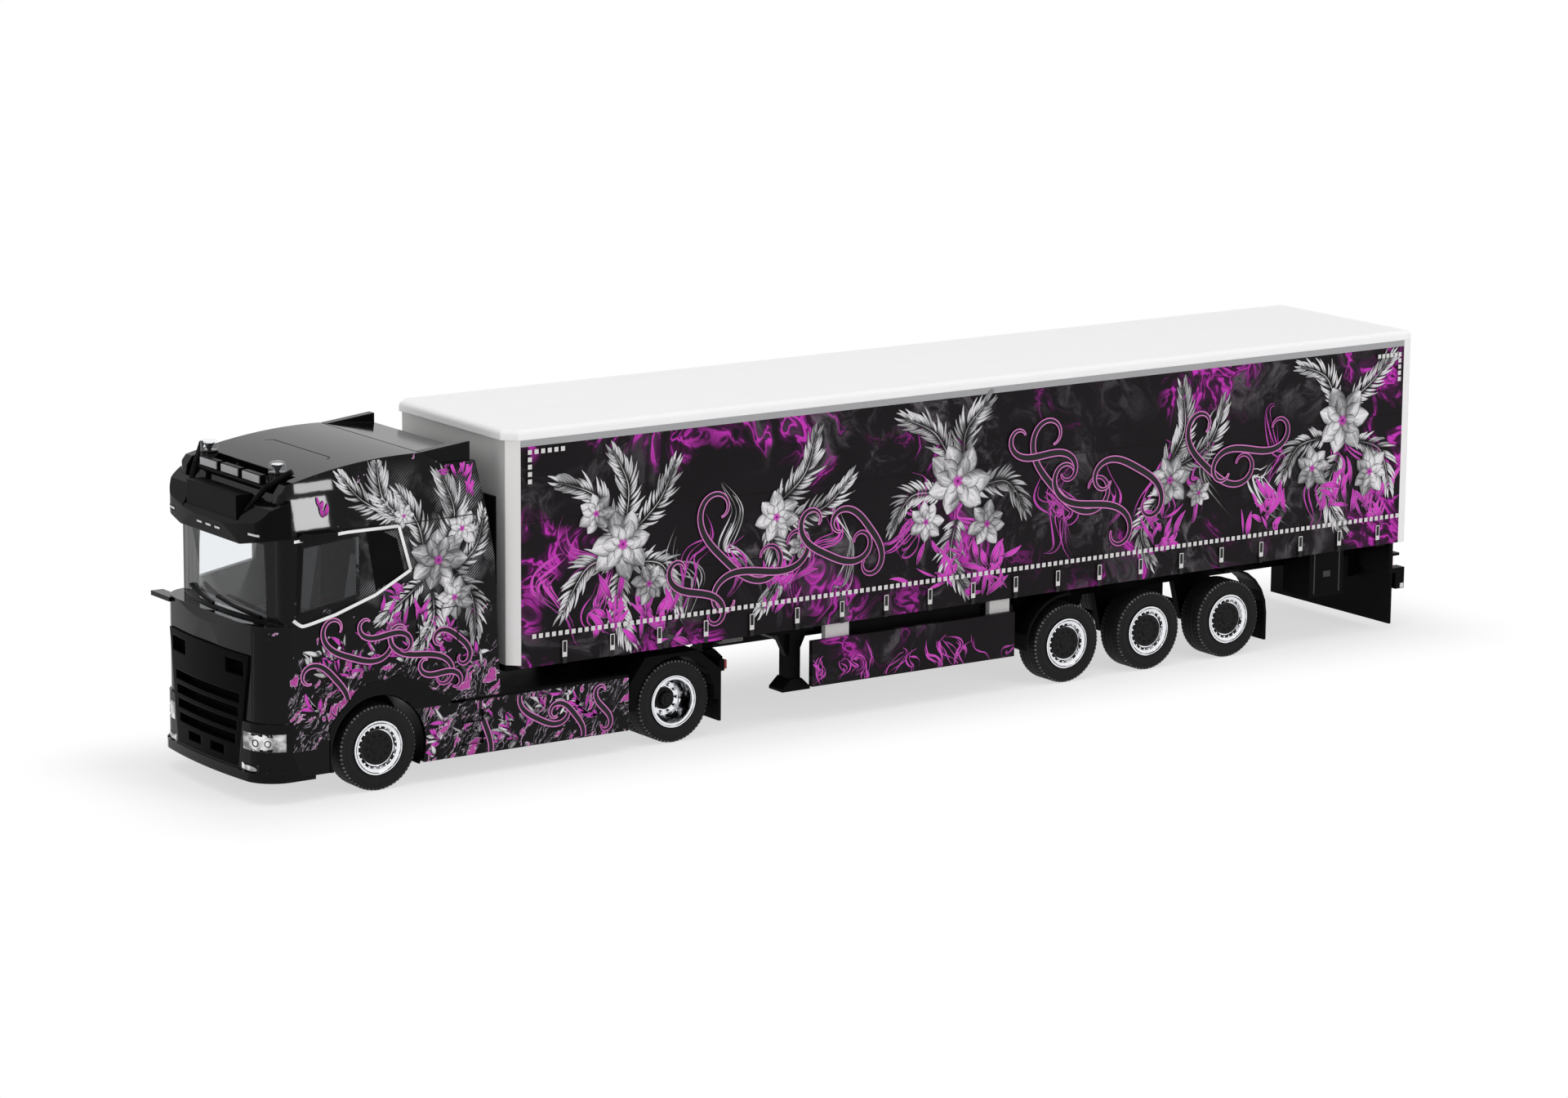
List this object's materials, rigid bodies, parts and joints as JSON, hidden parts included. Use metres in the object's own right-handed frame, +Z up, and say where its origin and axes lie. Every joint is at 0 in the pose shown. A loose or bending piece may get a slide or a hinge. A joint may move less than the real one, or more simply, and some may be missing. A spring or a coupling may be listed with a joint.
{
  "type": "scale model articulated lorry with decorated box trailer",
  "caption": "Decorated scale model lorry: high-roof tractor hinged at its kingpin to a box trailer, with wheelsets that roll.",
  "frame": {"origin": "on the floor, in the middle of the overall length and width", "axes": "+X forwards, +Y to the vehicle's left, +Z up"},
  "size_m": [0.1954, 0.033, 0.0455],
  "materials": {
    "cab_gloss": "gloss black with printed ribbons",
    "clear_glazing": "clear",
    "interior_grey": "matte",
    "clear_lamp": "clear over silver",
    "sign_face": "blank gloss face",
    "bright_metal": "bright plated",
    "amber_lens": "clear amber",
    "dark_moulding": "satin black",
    "red_lens": "clear red",
    "silver_panel": "satin silver",
    "box_curtain": "printed with smoke and blossom",
    "white_panel": "satin white",
    "light_grey": "satin",
    "tyre_rubber": "soft matte rubber"
  },
  "bodies": {
    "tractor": {"cab_shell": "cab_gloss", "cab_glazing": "clear_glazing", "cab_interior": "interior_grey", "grille_panel": "cab_gloss", "front_bumper": "cab_gloss", "front_lamps": "clear_lamp", "sun_visor": "cab_gloss", "sign_box": "sign_face", "roof_bar": "bright_metal", "roof_lamps": "dark_moulding", "roof_lamp_lenses": "clear_lamp", "beacons": "amber_lens", "roof_deflector": "cab_gloss", "side_extenders": "cab_gloss", "wheel_flares": "dark_moulding", "wipers": "dark_moulding", "mirrors": "cab_gloss", "tractor_frame": "dark_moulding", "deck": "dark_moulding", "side_skirts": "cab_gloss", "fifth_wheel": "dark_moulding", "drive_fenders": "dark_moulding", "tail_lamps": "red_lens"},
    "trailer": {"box_floor": "dark_moulding", "box_front_wall": "silver_panel", "front_bulkhead": "dark_moulding", "box_side_left": "box_curtain", "box_side_right": "box_curtain", "box_rear_doors": "silver_panel", "box_roof": "white_panel", "trailer_chassis": "dark_moulding", "kingpin": "bright_metal", "landing_legs": "dark_moulding", "side_guards": "box_curtain", "guard_brackets": "light_grey", "pallet_boxes": "dark_moulding", "mudguards": "dark_moulding", "toolboxes": "dark_moulding", "rear_bumper": "light_grey", "rear_lamps": "red_lens", "rear_skirt": "dark_moulding"},
    "front_wheelset": {"tyres_front": "tyre_rubber", "wheels_front": "bright_metal"},
    "drive_wheelset": {"tyres_drive": "tyre_rubber", "wheels_drive": "bright_metal"},
    "trailer_1_wheelset": {"tyres_trailer_1": "tyre_rubber", "wheels_trailer_1": "bright_metal"},
    "trailer_2_wheelset": {"tyres_trailer_2": "tyre_rubber", "wheels_trailer_2": "bright_metal"},
    "trailer_3_wheelset": {"tyres_trailer_3": "tyre_rubber", "wheels_trailer_3": "bright_metal"}
  },
  "joints": [
    {"name": "kingpin_turn", "type": "hinge", "parent": "tractor", "child": "trailer", "pos_m": [0.0402, 0, 0.0121], "axis": [0, 0, 1], "range_deg": [-90, 90]},
    {"name": "front_roll", "type": "hinge", "parent": "tractor", "child": "front_wheelset", "pos_m": [0.07965, 0, 0.0057], "axis": [0, 1, 0], "continuous": true},
    {"name": "drive_roll", "type": "hinge", "parent": "tractor", "child": "drive_wheelset", "pos_m": [0.0333, 0, 0.0057], "axis": [0, 1, 0], "continuous": true},
    {"name": "trailer_1_roll", "type": "hinge", "parent": "trailer", "child": "trailer_1_wheelset", "pos_m": [-0.03325, 0, 0.0057], "axis": [0, 1, 0], "continuous": true},
    {"name": "trailer_2_roll", "type": "hinge", "parent": "trailer", "child": "trailer_2_wheelset", "pos_m": [-0.04815, 0, 0.0057], "axis": [0, 1, 0], "continuous": true},
    {"name": "trailer_3_roll", "type": "hinge", "parent": "trailer", "child": "trailer_3_wheelset", "pos_m": [-0.06305, 0, 0.0057], "axis": [0, 1, 0], "continuous": true}
  ]
}
